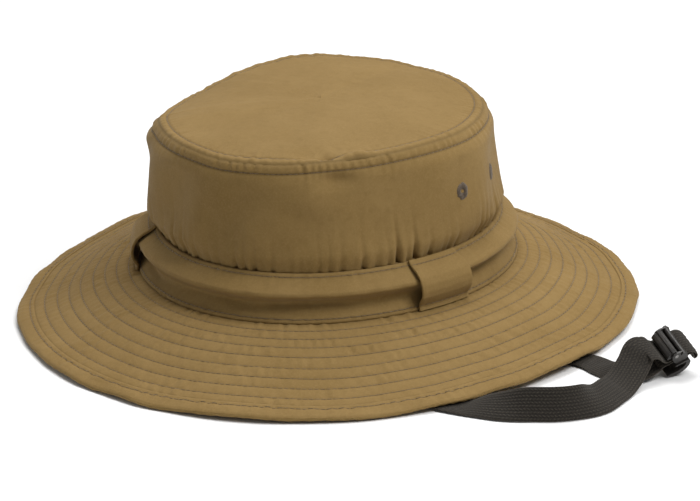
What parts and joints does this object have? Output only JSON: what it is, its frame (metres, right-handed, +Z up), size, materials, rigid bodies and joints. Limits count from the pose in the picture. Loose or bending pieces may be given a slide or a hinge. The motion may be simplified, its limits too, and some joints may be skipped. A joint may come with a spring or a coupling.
{
  "type": "boonie hat",
  "caption": "Soft cloth boonie hat with a quilted drooping brim, band loops, stitched vent eyelets and a flat chin strap with a cam-lock slider.",
  "frame": {"origin": "centre of the hat's footprint, on the surface that the brim's lowest edge rests on", "axes": "+Z up, front of the hat towards -Y, wearer's left towards +X"},
  "size_m": [0.3501, 0.3264, 0.1018],
  "materials": {
    "hat_cloth": "matte olive-brown woven cotton with a soft nap",
    "lining_cloth": "matte woven cotton tape, a little smoother than the shell",
    "interlining": "stiff undyed non-woven felt",
    "thread": "dense grey-brown embroidery thread with a slight sheen",
    "strap_knit": "flat black knitted braid with lengthwise ribs",
    "slider_plastic": "moulded dark grey nylon, satin with paler worn highlights",
    "pin_steel": "plain round pin, dull"
  },
  "bodies": {
    "hat": {"crown_tip": "hat_cloth", "crown_wall": "hat_cloth", "crown_seam_tape": "lining_cloth", "hat_band": "hat_cloth", "band_loop_left": "hat_cloth", "band_loop_right": "hat_cloth", "band_loop_back": "hat_cloth", "brim_top_ply": "hat_cloth", "brim_interlining": "interlining", "brim_bottom_ply": "hat_cloth", "brim_binding": "hat_cloth", "sweatband": "lining_cloth", "eyelet_left_front": "thread", "eyelet_left_back": "thread", "eyelet_right_front": "thread", "eyelet_right_back": "thread", "chin_strap": "strap_knit"},
    "slider": {"slider_frame": "slider_plastic", "slider_pin": "pin_steel"},
    "lever": {"cam_lever": "slider_plastic"}
  },
  "joints": [
    {"name": "slider_slide", "type": "slide", "parent": "hat", "child": "slider", "axis": [0.7046, 0.6125, 0.3584], "range_m": [0, 0.0015]},
    {"name": "lever_hinge", "type": "hinge", "parent": "slider", "child": "lever", "pos_m": [0.18619, -0.03727, 0.01478], "axis": [-0.7093, 0.5938, 0.3797], "range_deg": [0, 60]}
  ]
}
